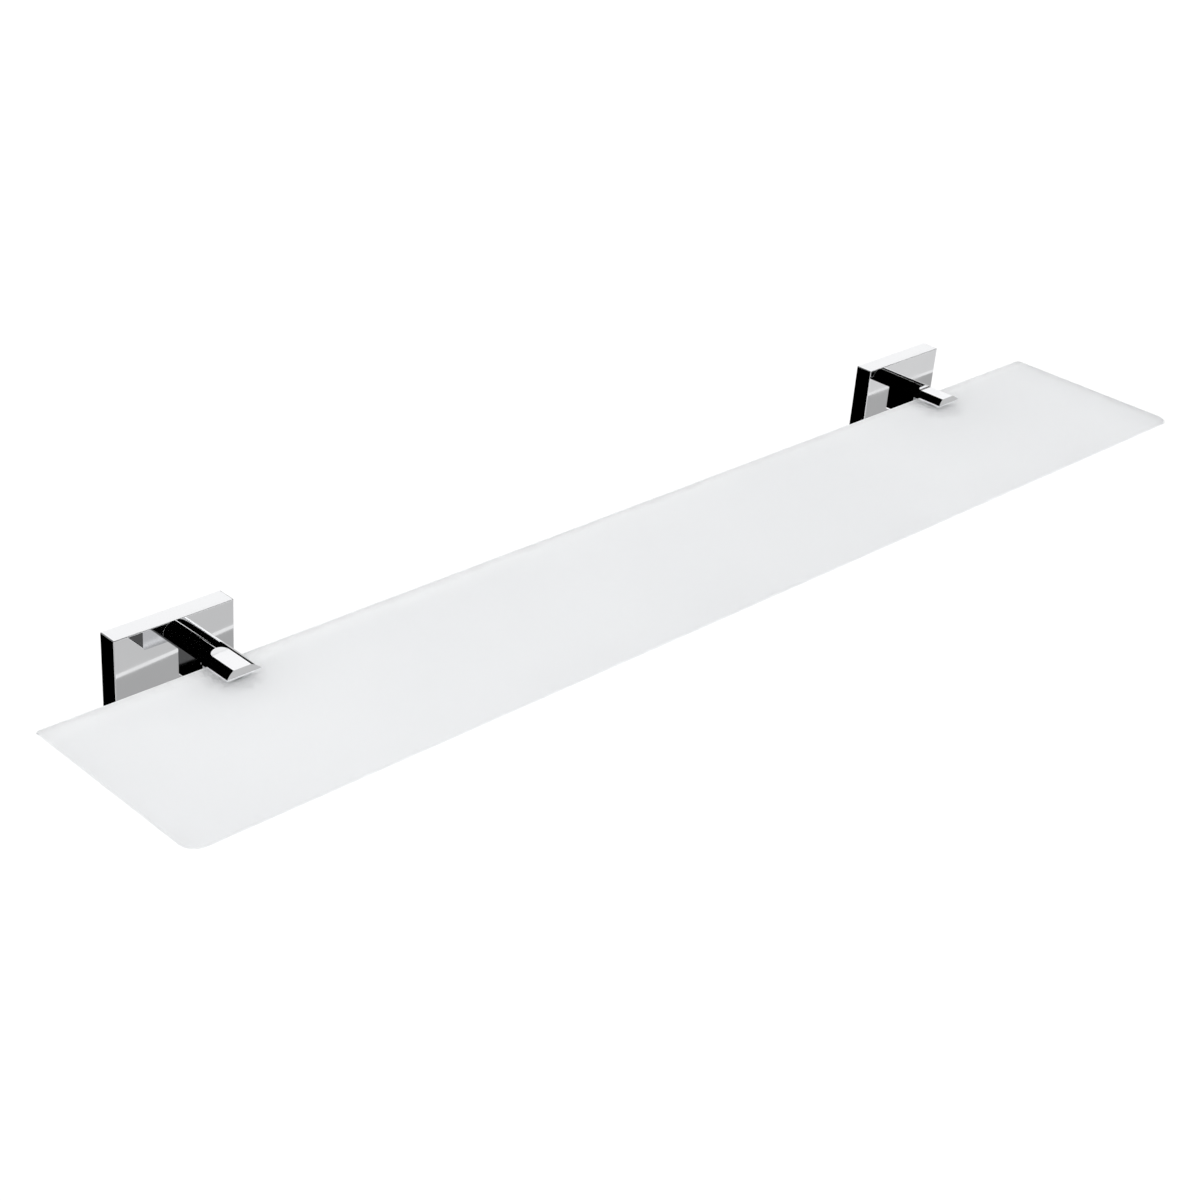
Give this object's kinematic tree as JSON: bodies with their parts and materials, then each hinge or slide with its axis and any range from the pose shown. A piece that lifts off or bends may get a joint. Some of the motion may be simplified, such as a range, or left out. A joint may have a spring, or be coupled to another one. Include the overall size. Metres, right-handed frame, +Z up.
{
  "type": "wall shelf",
  "caption": "Narrow satin glass wall shelf held at its back edge by two chrome clamp brackets with domed arms on rectangular wall covers.",
  "frame": {"origin": "on the wall plane, midway along the pane, at the height of the pane's top face", "axes": "+X along the shelf to the right as seen from the front, -Y out of the wall towards the user, +Z up"},
  "size_m": [0.6, 0.134, 0.036],
  "materials": {
    "satin_glass": "satin etched faces, polished edges",
    "polished_chrome": "bright mirror chrome",
    "zinc_steel": "zinc plated",
    "screw_steel": "stainless",
    "clear_pad": "clear soft vinyl",
    "nylon_pad": "natural nylon"
  },
  "bodies": {
    "brackets": {"left_wall_cover": "polished_chrome", "left_wall_plate": "zinc_steel", "left_lock_screw": "screw_steel", "left_upper_arm": "polished_chrome", "left_lower_jaw": "polished_chrome", "left_arm_pins": "screw_steel", "left_jaw_screws": "screw_steel", "left_upper_pad": "clear_pad", "right_wall_cover": "polished_chrome", "right_wall_plate": "zinc_steel", "right_lock_screw": "screw_steel", "right_upper_arm": "polished_chrome", "right_lower_jaw": "polished_chrome", "right_arm_pins": "screw_steel", "right_jaw_screws": "screw_steel", "right_upper_pad": "clear_pad"},
    "glass": {"glass_shelf": "satin_glass"},
    "left_clamp_pad": {"left_clamp_pad": "nylon_pad"},
    "left_clamp_screw": {"left_clamp_screw": "screw_steel"},
    "right_clamp_pad": {"right_clamp_pad": "nylon_pad"},
    "right_clamp_screw": {"right_clamp_screw": "screw_steel"}
  },
  "joints": [
    {"name": "glass_slide", "type": "slide", "parent": "brackets", "child": "glass", "axis": [0, -1, 0], "range_m": [0, 0.02]},
    {"name": "left_clamp_travel", "type": "slide", "parent": "brackets", "child": "left_clamp_pad", "axis": [0, 0, 1], "range_m": [-0.0012, 0]},
    {"name": "left_clamp_turn", "type": "hinge", "parent": "left_clamp_pad", "child": "left_clamp_screw", "pos_m": [-0.219, -0.0465, -0.0096], "axis": [0, 0, 1], "range_deg": [-540, 0]},
    {"name": "right_clamp_travel", "type": "slide", "parent": "brackets", "child": "right_clamp_pad", "axis": [0, 0, 1], "range_m": [-0.0012, 0]},
    {"name": "right_clamp_turn", "type": "hinge", "parent": "right_clamp_pad", "child": "right_clamp_screw", "pos_m": [0.219, -0.0465, -0.0096], "axis": [0, 0, 1], "range_deg": [-540, 0]}
  ],
  "couplings": [
    {"joint": "left_clamp_turn", "follows": "left_clamp_travel", "rad_per_m": 7854},
    {"joint": "right_clamp_turn", "follows": "right_clamp_travel", "rad_per_m": 7854}
  ]
}
